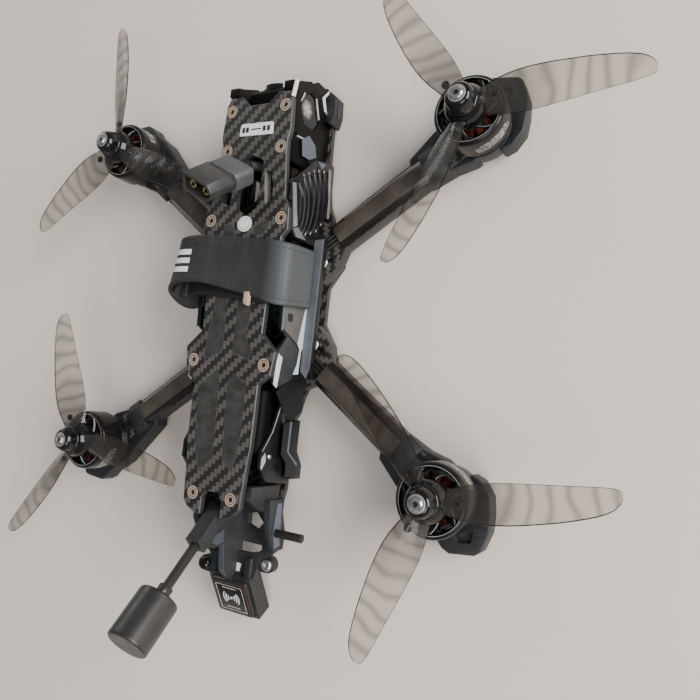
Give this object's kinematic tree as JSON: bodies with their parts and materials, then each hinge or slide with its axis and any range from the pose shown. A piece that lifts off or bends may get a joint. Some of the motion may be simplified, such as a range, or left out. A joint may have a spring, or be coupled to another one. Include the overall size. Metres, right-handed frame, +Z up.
{
  "type": "racing quadcopter drone",
  "caption": "X-frame racing quadcopter with tri-blade props on bell motors, flat carbon body, tilting nose camera, battery strap and lead, and a raked tail antenna.",
  "frame": {"origin": "on the ground plane, midway between the four motor axes", "axes": "+Z up along the rotor axes, -Y towards the nose, +X towards the drone's left side"},
  "size_m": [0.2961, 0.2767, 0.0802],
  "materials": {
    "carbon_plate": "satin woven laminate",
    "smoked_cover": "polished smoked",
    "printed_dark": "matte moulded",
    "panel_grey": "satin moulded",
    "black_alloy": "gloss black anodised",
    "bare_steel": "bright",
    "black_screw": "black oxide",
    "bronze_screw": "satin",
    "copper_wire": "enamelled",
    "prop_smoke": "translucent smoke",
    "circuit": "lacquered",
    "camera_black": "satin",
    "lens_glass": "polished",
    "connector_black": "satin moulded",
    "gold_pin": "plated",
    "lead_rubber": "silicone",
    "strap_fabric": "woven",
    "antenna_shell": "satin",
    "label_film": "printed film"
  },
  "bodies": {
    "frame": {"antenna_head": "antenna_shell", "antenna_stalk": "antenna_shell", "arm_covers": "smoked_cover", "arm_fl": "carbon_plate", "arm_fr": "carbon_plate", "arm_rl": "carbon_plate", "arm_rr": "carbon_plate", "arm_screws": "bare_steel", "battery_lead": "lead_rubber", "battery_strap": "strap_fabric", "bottom_plate": "carbon_plate", "bottom_screws": "black_screw", "camera_plate_left": "carbon_plate", "camera_plate_right": "carbon_plate", "capacitor": "lead_rubber", "connector_cap": "connector_black", "connector_housing": "connector_black", "connector_pins": "gold_pin", "esc_board": "circuit", "flight_controller": "circuit", "front_bumper": "printed_dark", "front_panel_left": "panel_grey", "front_panel_right": "panel_grey", "gps_label": "label_film", "gps_module": "antenna_shell", "mid_plate": "carbon_plate", "motor_guards": "printed_dark", "motor_screws": "black_screw", "motor_windings": "copper_wire", "motor_wires": "lead_rubber", "mount_screws": "bare_steel", "rear_mount": "printed_dark", "rear_panel_left": "panel_grey", "rear_panel_right": "panel_grey", "receiver_antenna": "antenna_shell", "stack_screws": "black_screw", "stack_spacers": "black_alloy", "standoffs": "black_alloy", "stator_fl": "bare_steel", "stator_fr": "bare_steel", "stator_rl": "bare_steel", "stator_rr": "bare_steel", "top_plate": "carbon_plate", "top_screws": "bronze_screw", "video_transmitter": "circuit"},
    "rotor_fr": {"bell_fr": "black_alloy", "propeller_fr": "prop_smoke", "prop_nut_fr": "black_screw"},
    "rotor_fl": {"bell_fl": "black_alloy", "propeller_fl": "prop_smoke", "prop_nut_fl": "black_screw"},
    "rotor_rr": {"bell_rr": "black_alloy", "propeller_rr": "prop_smoke", "prop_nut_rr": "black_screw"},
    "rotor_rl": {"bell_rl": "black_alloy", "propeller_rl": "prop_smoke", "prop_nut_rl": "black_screw"},
    "camera": {"camera_body": "camera_black", "camera_lens": "lens_glass"}
  },
  "joints": [
    {"name": "rotor_fr_spin", "type": "hinge", "parent": "frame", "child": "rotor_fr", "pos_m": [-0.0902, -0.0727, 0.028], "axis": [0, 0, 1], "continuous": true},
    {"name": "rotor_fl_spin", "type": "hinge", "parent": "frame", "child": "rotor_fl", "pos_m": [0.0902, -0.0727, 0.028], "axis": [0, 0, 1], "continuous": true},
    {"name": "rotor_rr_spin", "type": "hinge", "parent": "frame", "child": "rotor_rr", "pos_m": [-0.0902, 0.0727, 0.028], "axis": [0, 0, 1], "continuous": true},
    {"name": "rotor_rl_spin", "type": "hinge", "parent": "frame", "child": "rotor_rl", "pos_m": [0.0902, 0.0727, 0.028], "axis": [0, 0, 1], "continuous": true},
    {"name": "camera_tilt", "type": "hinge", "parent": "frame", "child": "camera", "pos_m": [0, -0.0833, 0.0213], "axis": [-1, 0, 0], "range_deg": [-20, 30]}
  ]
}
